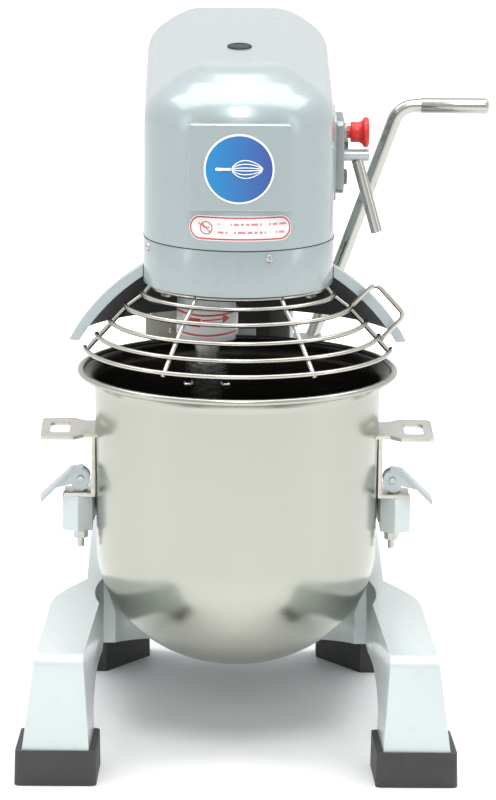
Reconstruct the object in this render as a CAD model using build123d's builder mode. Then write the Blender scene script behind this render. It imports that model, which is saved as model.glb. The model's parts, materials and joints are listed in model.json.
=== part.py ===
"""Commercial planetary stand mixer, 20 litre class, as an assembly of separate pieces.

Millimetres. Origin on the worktop, straight under the bowl and planetary axis.
+X is to the operator's right, +Y is to the back of the machine, +Z is up.
"""
from build123d import *
import math
import os

os.makedirs("parts", exist_ok=True)

# ---------------------------------------------------------------- driving dimensions
GAP = 0.3                     # clearance between neighbouring pieces that move
FIT = 0.05                    # radial running clearance of a shaft in its bore

# bowl
BOWL_R = 155.0                # outside radius under the rim
BOWL_LOW_R = 152.5            # outside radius where the wall meets the dome
BOWL_WALL = 2.0
BOWL_BOTTOM = 80.0
BOWL_DOME_TOP = 210.0
BOWL_NECK = 388.0             # where the wall starts to flare into the rim
RIM_R = 174.0
RIM_Z = 405.0
RIM_ROLL_R = 3.6

# head
HEAD_R = 102.5                # half width, and radius of the round nose
HEAD_BACK = 300.0
HEAD_BOTTOM = 504.0
SEAM_Z = 554.0
SHELL = 3.0
NOSE_Z = 742.5                # crown of the round nose
ROOF_SLOPE = 0.088            # the whole section rises by this much towards the back
ROOF_PEAK_Y = 252.0           # and rolls over into the back wall from here
ROOF_BLEND_R = 45.0           # rounding between the facets of the section
PLUG_Y = 69.0

# column and base
COLUMN_HALF = 64.0
COLUMN_FRONT = 187.0
COLUMN_BACK = 300.0
COLUMN_WALL = 5.0
COLUMN_FOOT_Z = 166.0
FOOT_Z = 8.0                  # thickness of the rubber soles
KNEE_Z = 142.0
LEG_FRONT = -218.0
BASE_BACK = 325.0
POCKET_R = 154.5              # clearance pocket for the bowl, at the top
POCKET_LOW_R = 146.0          # and under its dome

# lift
LIFT_TRAVEL = 50.0
LEVER_SWING = 50.0            # degrees
LIFT_Y = 262.0
LIFT_Z = 375.0
CRANK_R = LIFT_TRAVEL / 2 / math.sin(math.radians(LEVER_SWING / 2))
ROLLER_R = 8.0
PIN_Z = LIFT_Z + LIFT_TRAVEL / 2
PIN_Y = LIFT_Y - CRANK_R * math.cos(math.radians(LEVER_SWING / 2))

# planetary drive and gearbox
PLANET_X = -33.0              # agitator axis, at rest
AGITATOR_R = 12.0
MAIN_R = 12.5
COUNTER_Y = 72.0
COUNTER_R = 9.0
MOTOR_Y = 243.0
MOTOR_R = 48.0
RING_TEETH = 50
PLANET_TEETH = 17
PLANET_MODULE = 2.0
GEAR_MODULE = 3.0
# name, teeth on the main shaft, teeth on the countershaft, height of the lower face
GEAR_PAIRS = (("low", 32, 16, 566.0), ("mid", 28, 20, 596.0), ("high", 22, 26, 626.0))
GEAR_WIDTH = 16.0
PULLEY_Z = 687.0
COUNTER_PULLEY_R = 50.0
MOTOR_PULLEY_R = 22.0
UPPER_PLATE_Z = 655.0

# right-hand controls
CONTROL_Y = 60.0
SHIFT_Z = 632.0
STOP_Z = 657.0
START_Z = 640.0
KNOB_Z = 605.0

# splash guard
WIRE_R = 2.5
HOOPS = ((105.0, 492.0), (123.0, 478.5), (139.0, 461.5), (153.0, 446.0), (166.0, 431.5))
GUARD_END = 4.0               # degrees in front of the X axis at both ends
SHEET = 2.0

SIDES = ((-1, "left"), (1, "right"))


def save(builder, name):
    """Label a finished piece and write it to its own STEP file."""
    builder.part.label = name
    export_step(builder.part, f"parts/{name}.step")


def polar(radius, degrees):
    """Plan position at a radius and an angle from +X."""
    angle = math.radians(degrees)
    return radius * math.cos(angle), radius * math.sin(angle)


def head_plan(inset):
    """Round nose with straight sides, set in from the head's outline, in the current sketch."""
    half = HEAD_R - inset
    Circle(half)
    with Locations((0, (HEAD_BACK - inset) / 2)):
        Rectangle(2 * half, HEAD_BACK - inset)


def head_section(inset, low):
    """Right half of the head's cross section, from the foot of the side wall up to the crown."""
    half = HEAD_R - inset
    return FilletPolyline(
        (half, low), (half, 702 - 0.35 * inset), (71 - 0.6 * inset, 727 - 0.8 * inset),
        (46 - 0.3 * inset, NOSE_Z - inset), (0, NOSE_Z - inset), radius=ROOF_BLEND_R - inset,
    )


def head_shape(inset, low):
    """Outer form of the head above `low`, set in by `inset`: a round nose and a sloping body."""
    back = HEAD_BACK - inset
    peak = NOSE_Z - inset + ROOF_SLOPE * ROOF_PEAK_Y
    with BuildPart() as nose:
        with BuildSketch(Plane.XZ):
            with BuildLine():
                head_section(inset, low)
                Polyline((0, NOSE_Z - inset), (0, low), (HEAD_R - inset, low))
            make_face()
        revolve(axis=Axis.Z)
    with BuildPart() as body:
        with BuildSketch(Plane.XZ):
            with BuildLine():
                right = head_section(inset, low - 30)
                mirror(right, about=Plane.YZ)
                Line((-HEAD_R + inset, low - 30), (HEAD_R - inset, low - 30))
            make_face()
        extrude(amount=(back + 1) * math.hypot(1, ROOF_SLOPE), dir=(0, 1, ROOF_SLOPE))
        with BuildSketch(Plane.YZ):
            with BuildLine():
                Polyline((ROOF_PEAK_Y, peak), (0, peak + 10), (0, low), (back, low), (back, peak - 36))
                ThreePointArc((back, peak - 36), (back - 12, peak - 10), (ROOF_PEAK_Y, peak))
            make_face()
        extrude(amount=HEAD_R, both=True, mode=Mode.INTERSECT)
    with BuildPart() as head:
        add(nose.part)
        add(body.part)
    return head.part


def gear_face(teeth, module, phase, tip, root, thicken):
    """Toothed outline in the current sketch; `phase` is the angle of one tooth, in degrees.

    Flanks are short straight facets on the involute. `tip` and `root` are radii, and `thicken` is
    added to the tooth's width at the pitch circle.
    """
    pitch = teeth * module / 2
    pressure = math.radians(20)
    base = pitch * math.cos(pressure)
    at_pitch = math.pi / (2 * teeth) + thicken / (2 * pitch)
    points = []
    for tooth in range(teeth):
        centre = math.radians(phase) + 2 * math.pi * tooth / teeth
        flank = []
        for radius in (root, (root + pitch) / 2, pitch, tip):
            slope = math.acos(base / max(radius, base))
            half = at_pitch + math.tan(pressure) - pressure - math.tan(slope) + slope
            flank.append((radius, half))
        for radius, half in flank:
            points.append((radius * math.cos(centre - half), radius * math.sin(centre - half)))
        for radius, half in reversed(flank):
            points.append((radius * math.cos(centre + half), radius * math.sin(centre + half)))
    Polygon(*points, align=None)


# ---------------------------------------------------------------- base
def base_outline(height):
    """Half outline of the base at a height: the leg's nose, its flare and the back box."""
    rise = (height - 38.0) / (KNEE_Z - 38.0)
    front_out = 227.0 - 14.0 * rise
    front_in = 156.0 + 6.5 * rise
    flare = 212.0 - 9.0 * rise
    box = 171.0 - 6.0 * rise
    return front_in, front_out, flare, box


def base_section(height):
    """U-shaped plan of the base at a height, in the current sketch."""
    front_in, front_out, flare, box = base_outline(height)
    points = [
        (front_in, LEG_FRONT), (front_out, LEG_FRONT), (flare, -42), (flare - 4.5, -16),
        (flare - 16, 10), (box, 46),
        (box, BASE_BACK - 30), (box - 24, BASE_BACK),
    ]
    mirrored = [(-x, y) for x, y in reversed(points)]
    inner = [(-146, -2), (-146, 60), (146, 60), (146, -2)]
    Polygon(*(points + mirrored + inner), align=None)


def base_top(y):
    """Height of the base's top face over its side profile."""
    return KNEE_Z + 0.06 * (min(y, 185.0) + 215.0)


with BuildPart() as base_casting:
    with BuildSketch(Plane.XY.offset(FOOT_Z)):
        base_section(FOOT_Z)
    with BuildSketch(Plane.XY.offset(180)):
        base_section(180)
    loft(ruled=True)
    # side profile: knee, gently rising top, and the arch between the front and the rear foot
    with BuildSketch(Plane.YZ):
        with BuildLine():
            Polyline((-134, 58), (-134, 0), (LEG_FRONT, 0), (LEG_FRONT, KNEE_Z - 13))
            ThreePointArc(
                (LEG_FRONT, KNEE_Z - 13), (LEG_FRONT + 3.8, KNEE_Z - 3.8), (LEG_FRONT + 13, KNEE_Z),
            )
            Polyline(
                (LEG_FRONT + 13, KNEE_Z), (185, base_top(185)), (BASE_BACK - 14, base_top(185)),
                (BASE_BACK, base_top(185) - 14), (BASE_BACK, 0), (240, 0), (240, 42),
            )
            Spline((240, 42), (111, 72), (0, 88), (-90, 84), (-134, 58))
        make_face()
    extrude(amount=240, both=True, mode=Mode.INTERSECT)
    # round pocket that the lowered bowl drops into, closer to the bowl's dome lower down
    with BuildSketch(Plane.XZ):
        with BuildLine():
            Polyline((POCKET_R, 160), (POCKET_R, 200), (0, 200), (0, 0), (POCKET_LOW_R, 0), (POCKET_LOW_R, 118))
            ThreePointArc((POCKET_LOW_R, 118), (151.4, 134), (POCKET_R, 160))
        make_face()
    revolve(axis=Axis.Z, mode=Mode.SUBTRACT)
    # opening under the back, between the rear feet, splayed towards the front
    with BuildSketch(Plane.XY):
        Polygon((-152, 236), (152, 236), (103, 302), (103, 330), (-103, 330), (-103, 302), align=None)
        with Locations((0, 190)):
            Rectangle(2 * 152, 100)
    extrude(amount=56, mode=Mode.SUBTRACT)
    # the casting is hollow behind the pocket
    with BuildSketch(Plane.XY.offset(50)):
        with Locations((0, 245)):
            RectangleRounded(210, 126, 12)
    extrude(amount=104, mode=Mode.SUBTRACT)
    # tapped holes under the column's bolts
    with Locations([(x, y, COLUMN_FOOT_Z) for x in (-84, 84) for y in (198, 288)]):
        Hole(4.0, 12.5)
    # cable passage in the back wall
    with Locations(Plane((-70, BASE_BACK, 120), z_dir=(0, 1, 0))):
        Hole(8.0, 20)
save(base_casting, "base_casting")

with BuildPart() as rubber_boots:
    with BuildSketch(Plane.XY):
        front_boot = Polygon((148, -222), (235, -222), (231, -131), (145, -131), align=None)
        fillet(front_boot.vertices(), 6)
    extrude(amount=38, taper=1)
    with BuildSketch(Plane.XY):
        Polygon((146, 231), (176, 231), (176, 298), (151, 330), (97, 330), (97, 299), align=None)
    extrude(amount=40, taper=1)
    mirror(about=Plane.YZ)
    add(base_casting.part, mode=Mode.SUBTRACT)
save(rubber_boots, "rubber_boots")

# ---------------------------------------------------------------- column
COLUMN_MID_Y = (COLUMN_FRONT + COLUMN_BACK) / 2
COLUMN_DEPTH = COLUMN_BACK - COLUMN_FRONT
RAIL_X = 43.0                 # centre of each slide rail on the column's front
RAIL_W = 14.0
RAIL_PROUD = 7.0
with BuildPart() as column_casting:
    with BuildSketch(Plane.XY.offset(COLUMN_FOOT_Z)):
        with Locations((0, COLUMN_MID_Y)):
            RectangleRounded(200, COLUMN_DEPTH + 22, 16)
    extrude(amount=12)
    with BuildSketch(Plane.XY.offset(COLUMN_FOOT_Z)):
        with Locations((0, COLUMN_MID_Y)):
            RectangleRounded(2 * COLUMN_HALF, COLUMN_DEPTH, 8)
        with Locations([(x, COLUMN_FRONT) for x in (-RAIL_X, RAIL_X)]):
            Rectangle(RAIL_W, 2 * RAIL_PROUD)
    extrude(amount=HEAD_BOTTOM - COLUMN_FOOT_Z)
    with BuildSketch(Plane.XY.offset(COLUMN_FOOT_Z)):
        with Locations((0, COLUMN_MID_Y)):
            Rectangle(2 * (COLUMN_HALF - COLUMN_WALL), COLUMN_DEPTH - 2 * COLUMN_WALL)
    extrude(amount=HEAD_BOTTOM - COLUMN_FOOT_Z, mode=Mode.SUBTRACT)
    # slot in the front wall for the yoke's lift block
    with BuildSketch(Plane.XZ.offset(-COLUMN_FRONT)):
        with Locations((0, PIN_Z - LIFT_TRAVEL / 2)):
            RectangleRounded(25, LIFT_TRAVEL + 34, 4)
    extrude(amount=-12, both=True, mode=Mode.SUBTRACT)
    # journals of the lift shaft in both side walls
    with BuildSketch(Plane.YZ):
        with Locations((LIFT_Y, LIFT_Z)):
            Circle(10.0 + FIT)
    extrude(amount=COLUMN_HALF + 1, both=True, mode=Mode.SUBTRACT)
    # bolt holes in the foot flange, opening in the back wall
    with Locations([(x, y, COLUMN_FOOT_Z + 12) for x in (-84, 84) for y in (198, 288)]):
        Hole(4.5, 12)
    with BuildSketch(Plane.XZ.offset(-COLUMN_BACK)):
        with Locations((0, 330)):
            Rectangle(90, 230)
    extrude(amount=8, mode=Mode.SUBTRACT)
save(column_casting, "column_casting")

with BuildPart() as column_bolts:
    with Locations([(x, y, COLUMN_FOOT_Z - 12) for x in (-84, 84) for y in (198, 288)]):
        Cylinder(4.0, 34, align=(Align.CENTER, Align.CENTER, Align.MIN))
    with BuildSketch(Plane.XY.offset(COLUMN_FOOT_Z + 12)):
        with Locations([(x, y) for x in (-84, 84) for y in (198, 288)]):
            RegularPolygon(7.5, 6)
    extrude(amount=6)
save(column_bolts, "column_bolts")

with BuildPart() as column_back_cover:
    with BuildSketch(Plane.XZ.offset(-COLUMN_BACK)):
        with Locations((0, 330)):
            RectangleRounded(104, 246, 6)
    extrude(amount=-SHEET)
save(column_back_cover, "column_back_cover")

with BuildPart() as cable_gland:
    with BuildSketch(Plane((-70, BASE_BACK, 120), z_dir=(0, 1, 0))):
        RegularPolygon(13, 6)
    extrude(amount=7)
    with BuildSketch(Plane((-70, BASE_BACK - 10, 120), z_dir=(0, 1, 0))):
        Circle(7.9)
    extrude(amount=24)
    with BuildSketch(Plane((-70, BASE_BACK - 10, 120), z_dir=(0, 1, 0))):
        Circle(4.5)
    extrude(amount=24, mode=Mode.SUBTRACT)
save(cable_gland, "cable_gland")

# ---------------------------------------------------------------- head
PLANET_OPENING_R = 86.0
with BuildPart() as head_casting:
    with BuildSketch(Plane.XY.offset(HEAD_BOTTOM)):
        head_plan(0)
    extrude(amount=SEAM_Z - HEAD_BOTTOM)
    with BuildSketch(Plane.XY.offset(HEAD_BOTTOM + 8)):
        head_plan(6)
    extrude(amount=SEAM_Z - HEAD_BOTTOM, mode=Mode.SUBTRACT)
    # planetary opening in front, motor opening over the column
    with BuildSketch(Plane.XY.offset(HEAD_BOTTOM)):
        Circle(PLANET_OPENING_R)
        with Locations((0, MOTOR_Y)):
            Circle(MOTOR_R + 4)
    extrude(amount=20, mode=Mode.SUBTRACT)
save(head_casting, "head_casting")

PANEL_HALF = 55.5             # raised flat pad on the nose, for the badge
PANEL_FACE = -105.0
PANEL_LOW, PANEL_HIGH = 597.0, 691.0
VENTS = tuple(634.0 + 13.0 * row for row in range(5))
COVER_OUTER = head_shape(0, SEAM_Z + GAP)
COVER_INNER = head_shape(SHELL, SEAM_Z - 1)
with BuildPart() as badge_pad:
    with BuildSketch(Plane.XZ.offset(-PANEL_FACE)):
        with Locations((0, (PANEL_LOW + PANEL_HIGH) / 2)):
            RectangleRounded(2 * PANEL_HALF, PANEL_HIGH - PANEL_LOW, 5)
    extrude(amount=-40)
    fillet(badge_pad.faces().sort_by(Axis.Y)[0].edges(), 2.5)
with BuildPart() as head_cover:
    add(COVER_OUTER)
    add(badge_pad.part)
    # raised pad behind the controls
    with BuildSketch(Plane.YZ.offset(HEAD_R - 1)):
        with Locations((CONTROL_Y + 6, 634)):
            RectangleRounded(92, 94, 10)
    extrude(amount=3.5)
    add(COVER_INNER, mode=Mode.SUBTRACT)
    # louvres in the right side, low at the back
    with BuildSketch(Plane.YZ.offset(HEAD_R + 1)):
        with Locations([(215, height) for height in VENTS]):
            SlotOverall(60, 5)
    extrude(amount=-14, mode=Mode.SUBTRACT)
    # holes for the shift shaft, the two buttons and the plug
    with BuildSketch(Plane.YZ.offset(HEAD_R + 5)):
        with Locations((CONTROL_Y, SHIFT_Z)):
            Circle(5.0 + FIT)
        with Locations((CONTROL_Y + 2, STOP_Z), (CONTROL_Y + 24, START_Z)):
            Circle(7.0)
    extrude(amount=-14, mode=Mode.SUBTRACT)
    with Locations((0, PLUG_Y, NOSE_Z + 20)):
        Hole(10.0, 60)
save(head_cover, "head_cover")

with BuildPart() as lifting_plug:
    plug_z = NOSE_Z + ROOF_SLOPE * PLUG_Y
    with BuildSketch(Plane((0, PLUG_Y, plug_z + 0.2), x_dir=(1, 0, 0), z_dir=(0, -ROOF_SLOPE, 1))):
        Circle(13.5)
    extrude(amount=2.2)
    with BuildSketch(Plane((0, PLUG_Y, plug_z - 10))):
        Circle(8.8)
    extrude(amount=10.5)
save(lifting_plug, "lifting_plug")

with BuildPart() as badge_disc:
    with BuildSketch(Plane.XZ.offset(-PANEL_FACE)):
        with Locations((-1, 643)):
            Circle(37.5)
    extrude(amount=1.4)
    chamfer(badge_disc.edges().group_by(Axis.Y)[0], 0.5)
save(badge_disc, "badge_disc")

with BuildPart() as warning_label:
    with BuildSketch(Plane.XY.offset(560)):
        Circle(HEAD_R + 0.6)
        Circle(HEAD_R + 0.02, mode=Mode.SUBTRACT)
    extrude(amount=40)
    with BuildSketch(Plane.XZ.offset(60)):
        with Locations((1, 578.5)):
            SlotOverall(114, 27)
    extrude(amount=60, mode=Mode.INTERSECT)
save(warning_label, "warning_label")

SCREW_ANGLES = (-72.0, -162.0)     # round the nose; one more sits on the right side wall
with BuildPart() as cross_head_screws:
    for angle in SCREW_ANGLES:
        x, y = polar(HEAD_R, angle)
        with BuildSketch(Plane((x, y, 546), z_dir=(x, y, 0))):
            Circle(4.6)
        extrude(amount=2.4)
    with BuildSketch(Plane((HEAD_R, 33, 546), z_dir=(1, 0, 0))):
        Circle(4.6)
    extrude(amount=2.4)
    # the two screws of the interlock box, below the shield on the column's left side
    with BuildSketch(Plane.XZ.offset(-187.7)):
        with Locations((-94, 428), (-73, 410)):
            Circle(3.2)
    extrude(amount=1.8)
save(cross_head_screws, "cross_head_screws")

with BuildPart() as control_panel:
    with BuildSketch(Plane.YZ.offset(HEAD_R + 2.5)):
        with Locations((CONTROL_Y + 6, 634)):
            RectangleRounded(74, 80, 8)
        with Locations((CONTROL_Y, SHIFT_Z)):
            Circle(5.0 + FIT, mode=Mode.SUBTRACT)
        with Locations((CONTROL_Y + 2, STOP_Z), (CONTROL_Y + 24, START_Z)):
            Circle(7.0, mode=Mode.SUBTRACT)
    extrude(amount=9)
    fillet(control_panel.faces().sort_by(Axis.X)[-1].outer_wire().edges(), 2.0)
    # collars round the buttons
    with BuildSketch(Plane.YZ.offset(HEAD_R + 11.5)):
        with Locations((CONTROL_Y + 2, STOP_Z), (CONTROL_Y + 24, START_Z)):
            Circle(10.0)
            Circle(7.0, mode=Mode.SUBTRACT)
    extrude(amount=3)
save(control_panel, "control_panel")

with BuildPart() as stop_button:
    with BuildSketch(Plane.YZ.offset(84)):
        with Locations((CONTROL_Y + 2, STOP_Z)):
            Circle(6.7)
    extrude(amount=37.5)
    with BuildSketch(Plane.YZ.offset(121.5)):
        with Locations((CONTROL_Y + 2, STOP_Z)):
            Circle(11.4)
    extrude(amount=12)
    with BuildSketch(Plane.YZ.offset(133)):
        with Locations((CONTROL_Y + 2, STOP_Z)):
            Circle(16.5)
    extrude(amount=9)
    fillet(stop_button.edges().group_by(Axis.X)[-1], 3.5)
save(stop_button, "stop_button")

with BuildPart() as start_button:
    with BuildSketch(Plane.YZ.offset(84)):
        with Locations((CONTROL_Y + 24, START_Z)):
            Circle(6.7)
    extrude(amount=36)
    fillet(start_button.edges().group_by(Axis.X)[-1], 1.2)
save(start_button, "start_button")

with BuildPart() as timer_knob:
    with BuildSketch(Plane.YZ.offset(HEAD_R + 11.8)):
        with Locations((CONTROL_Y + 18, KNOB_Z)):
            Circle(9)
    extrude(amount=4.5)
    fillet(timer_knob.edges().group_by(Axis.X)[-1], 0.8)
save(timer_knob, "timer_knob")

with BuildPart() as shift_hub:
    with BuildSketch(Plane.YZ.offset(HEAD_R + 11.8)):
        with Locations((CONTROL_Y, SHIFT_Z)):
            Circle(6.5)
    extrude(amount=28)
    fillet(shift_hub.edges().group_by(Axis.X)[-1], 1.0)
    with BuildSketch(Plane.YZ.offset(60)):
        with Locations((CONTROL_Y, SHIFT_Z)):
            Circle(5.0)
    extrude(amount=60)
    with BuildSketch(Plane.YZ.offset(64)):
        with Locations((CONTROL_Y, SHIFT_Z)):
            Circle(9)
        with Locations((CONTROL_Y + 10, SHIFT_Z)):
            Rectangle(20, 9)
        with Locations((CONTROL_Y + 20, SHIFT_Z)):
            Circle(4.5)
    extrude(amount=5)
    with BuildSketch(Plane.YZ.offset(56)):
        with Locations((CONTROL_Y + 20, SHIFT_Z)):
            Circle(3.0)
    extrude(amount=9)
save(shift_hub, "shift_hub")

ROD_TOP = (129.0, CONTROL_Y, SHIFT_Z - 5.2)
ROD_LOW = (151.5, CONTROL_Y, 547.0)
with BuildPart() as shift_rod:
    with BuildSketch(Plane(ROD_TOP, z_dir=Vector(ROD_LOW) - Vector(ROD_TOP))):
        Circle(6.3)
    extrude(amount=(Vector(ROD_LOW) - Vector(ROD_TOP)).length)
    fillet(shift_rod.edges().group_by(Axis.Z)[0], 1.2)
    add(shift_hub.part, mode=Mode.SUBTRACT)
save(shift_rod, "shift_rod")

with BuildPart() as shift_rail:
    with BuildSketch(Plane.XY.offset(536)):
        with Locations((58, CONTROL_Y + 20)):
            Circle(4)
    extrude(amount=132)
    with BuildSketch(Plane.XY.offset(SHIFT_Z - 9)):
        with Locations((58, CONTROL_Y + 20)):
            Rectangle(10, 18)
    extrude(amount=18)
    with BuildSketch(Plane.YZ.offset(55)):
        with Locations((CONTROL_Y + 19, SHIFT_Z)):
            SlotOverall(12, 6.8)
    extrude(amount=10, mode=Mode.SUBTRACT)
save(shift_rail, "shift_rail")

# ---------------------------------------------------------------- lift lever
LEVER_ELBOW = (183.0, 656.0)
LEVER_LEAN = 0.3585           # sideways run of the lever for each unit of its rise
LEVER_FOOT_X = LEVER_ELBOW[0] - LEVER_LEAN * (LEVER_ELBOW[1] - LIFT_Z)
LEVER_TIP_X = 281.0
LEVER_R = 7.8
with BuildPart() as lever_rod:
    with BuildLine(Plane.XZ.offset(-LIFT_Y)):
        FilletPolyline(
            (LEVER_FOOT_X, LIFT_Z), LEVER_ELBOW, (LEVER_TIP_X - 2, LEVER_ELBOW[1]), radius=26,
        )
    with BuildSketch(Plane((LEVER_FOOT_X, LIFT_Y, LIFT_Z), z_dir=(LEVER_LEAN, 0, 1))):
        Circle(LEVER_R)
    sweep()

with BuildPart() as lever_grip:
    with BuildSketch(Plane.YZ.offset(LEVER_ELBOW[0] + 24)):
        with Locations((LIFT_Y, LEVER_ELBOW[1])):
            Circle(LEVER_R + 1.2)
    extrude(amount=LEVER_TIP_X + 3 - LEVER_ELBOW[0] - 24)
    fillet(lever_grip.edges().group_by(Axis.X)[-1], 4.5)
    add(lever_rod.part, mode=Mode.SUBTRACT)
save(lever_grip, "lever_grip")

SHAFT_R = 10.0
with BuildPart() as lift_shaft:
    with BuildSketch(Plane.YZ.offset(-COLUMN_HALF - 2)):
        with Locations((LIFT_Y, LIFT_Z)):
            Circle(SHAFT_R)
    extrude(amount=COLUMN_HALF + 2 + LEVER_FOOT_X + 14)
save(lift_shaft, "lift_shaft")

with BuildPart() as lever_hub:
    with BuildSketch(Plane.YZ.offset(COLUMN_HALF + 1)):
        with Locations((LIFT_Y, LIFT_Z)):
            Circle(18)
    extrude(amount=LEVER_FOOT_X + 16 - COLUMN_HALF - 1)
    fillet(lever_hub.edges().group_by(Axis.X)[-1], 2.5)
    add(lift_shaft.part, mode=Mode.SUBTRACT)
    add(lever_rod.part, mode=Mode.SUBTRACT)
save(lever_hub, "lever_hub")
with BuildPart() as lever_rod_seated:
    add(lever_rod.part)
    add(lift_shaft.part, mode=Mode.SUBTRACT)
save(lever_rod_seated, "lever_rod")

with BuildPart() as crank_arm:
    crank_lean = math.degrees(math.atan2(PIN_Z - LIFT_Z, PIN_Y - LIFT_Y))
    with BuildSketch(Plane.YZ.offset(14)):
        with Locations((LIFT_Y, LIFT_Z)):
            Circle(17)
        with Locations((PIN_Y, PIN_Z)):
            Circle(8.5)
        with Locations(((LIFT_Y + PIN_Y) / 2, (LIFT_Z + PIN_Z) / 2)):
            Rectangle(CRANK_R, 15, rotation=crank_lean)
    extrude(amount=10)
    with BuildSketch(Plane.YZ.offset(-10)):
        with Locations((PIN_Y, PIN_Z)):
            Circle(4)
    extrude(amount=24)
    add(lift_shaft.part, mode=Mode.SUBTRACT)
save(crank_arm, "crank_arm")

with BuildPart() as crank_roller:
    with BuildSketch(Plane.YZ.offset(-10)):
        with Locations((PIN_Y, PIN_Z)):
            Circle(ROLLER_R)
            Circle(4, mode=Mode.SUBTRACT)
    extrude(amount=20)
save(crank_roller, "crank_roller")

# ---------------------------------------------------------------- yoke and bowl
YOKE_LOW, YOKE_HIGH = 235.0, 262.0
PLATE_FRONT, PLATE_BACK = 168.0, 186.5
FOOT_PLATE_Z = 266.0          # the bowl's foot plates rest on the yoke's end bosses here
CLAMP_X, CLAMP_Z = 170.0, 285.0
with BuildPart() as yoke_casting:
    with BuildSketch(Plane.XY.offset(YOKE_LOW)):
        Circle(183)
        Circle(POCKET_R + 0.5, mode=Mode.SUBTRACT)
        with Locations((0, -100)):
            Rectangle(400, 200, mode=Mode.SUBTRACT)
    extrude(amount=YOKE_HIGH - YOKE_LOW)
    # back plate that runs on the column's rails, and the neck above it
    with BuildSketch(Plane.XY.offset(YOKE_LOW - 3)):
        with Locations((0, (PLATE_FRONT + PLATE_BACK) / 2)):
            Rectangle(116, PLATE_BACK - PLATE_FRONT)
    extrude(amount=98)
    with BuildSketch(Plane.XY.offset(YOKE_LOW + 90)):
        with Locations((0, PLATE_BACK - 4.25)):
            Rectangle(44, 8.5)
    extrude(amount=PIN_Z + 15 - YOKE_LOW - 90)
    with BuildSketch(Plane.XY.offset(YOKE_LOW - 3)):
        with Locations([(x, COLUMN_FRONT) for x in (-RAIL_X, RAIL_X)]):
            Rectangle(RAIL_W + 2 * GAP, 2 * (RAIL_PROUD + GAP))
    extrude(amount=98, mode=Mode.SUBTRACT)
    # round bosses at both arm ends, clear of the bowl, drilled for the eye bolts
    with BuildSketch(Plane.XY.offset(YOKE_LOW - 8)):
        with Locations([(side * 173, 0) for side, _ in SIDES]):
            RegularPolygon(19.5, 6, rotation=30)
        Circle(157, mode=Mode.SUBTRACT)
    extrude(amount=FOOT_PLATE_Z - YOKE_LOW + 8)
    with BuildSketch(Plane.XY.offset(YOKE_LOW - 8)):
        with Locations([(side * CLAMP_X, 0) for side, _ in SIDES]):
            Circle(4.2)
    extrude(amount=60, mode=Mode.SUBTRACT)
    # lift block: reaches through the column's slot and holds the roller between two jaws
    with BuildSketch(Plane.YZ):
        with Locations(((PLATE_BACK - 1 + 222) / 2, PIN_Z)):
            Rectangle(222 - PLATE_BACK + 1, 30)
        with Locations(((193.5 + 223) / 2, PIN_Z)):
            Rectangle(223 - 193.5, 2 * ROLLER_R + 1.4, mode=Mode.SUBTRACT)
    extrude(amount=11.7, both=True)
save(yoke_casting, "yoke_casting")

with BuildPart() as bowl_shell:
    with BuildSketch(Plane.XZ):
        with BuildLine():
            dome = BOWL_DOME_TOP - BOWL_BOTTOM
            EllipticalCenterArc((0, BOWL_DOME_TOP), BOWL_LOW_R, dome, start_angle=270, arc_size=90)
            Line((BOWL_LOW_R, BOWL_DOME_TOP), (BOWL_R, BOWL_NECK))
            ThreePointArc((BOWL_R, BOWL_NECK), (158.4, 397.4), (RIM_R - 6, 402.5))
            Line((RIM_R - 6, 402.5), (RIM_R - 6, 404.5))
            ThreePointArc((RIM_R - 6, 404.5), (156.9, 399.0), (BOWL_R - BOWL_WALL, BOWL_NECK + 0.5))
            Line((BOWL_R - BOWL_WALL, BOWL_NECK + 0.5), (BOWL_LOW_R - BOWL_WALL, BOWL_DOME_TOP))
            EllipticalCenterArc(
                (0, BOWL_DOME_TOP), BOWL_LOW_R - BOWL_WALL, dome - BOWL_WALL, start_angle=270, arc_size=90,
            )
            Line((0, BOWL_BOTTOM + BOWL_WALL), (0, BOWL_BOTTOM))
        make_face()
        with Locations((RIM_R - RIM_ROLL_R, RIM_Z)):
            Circle(RIM_ROLL_R)
    revolve(axis=Axis.Z)
save(bowl_shell, "bowl_shell")

HANDLE_Z = 338.0
STRIP = 4.0                   # thickness of the bracket's strip
for side, word in SIDES:
    with BuildPart() as bowl_bracket:
        with BuildSketch(Plane.XY.offset(HANDLE_Z - STRIP / 2)):
            Polygon(
                (side * 150, -35), (side * 166, -35), (side * 177, -47.5), (side * 208, -47.5),
                (side * 213, -42.5), (side * 213, 42.5), (side * 208, 47.5), (side * 177, 47.5),
                (side * 166, 35), (side * 150, 35), align=None,
            )
            with Locations((side * 192.5, 0)):
                RectangleRounded(21, 50, 6, mode=Mode.SUBTRACT)
        extrude(amount=STRIP)
        with BuildSketch(Plane.XZ):
            with BuildLine():
                Polyline(
                    (side * 154, HANDLE_Z), (side * 154, FOOT_PLATE_Z), (side * 188, FOOT_PLATE_Z),
                    (side * 188, FOOT_PLATE_Z + STRIP), (side * 158.5, FOOT_PLATE_Z + STRIP),
                    (side * 158.5, HANDLE_Z), (side * 154, HANDLE_Z),
                )
            make_face()
        extrude(amount=17, both=True)
        add(bowl_shell.part, mode=Mode.SUBTRACT)
        with BuildSketch(Plane.XY):
            Circle(BOWL_R - 1.5)
        extrude(amount=400, mode=Mode.SUBTRACT)
        with BuildSketch(Plane.XY.offset(FOOT_PLATE_Z)):
            with Locations((side * CLAMP_X, 0)):
                Circle(4.6)
        extrude(amount=STRIP, mode=Mode.SUBTRACT)
    save(bowl_bracket, f"bowl_bracket_{word}")

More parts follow.
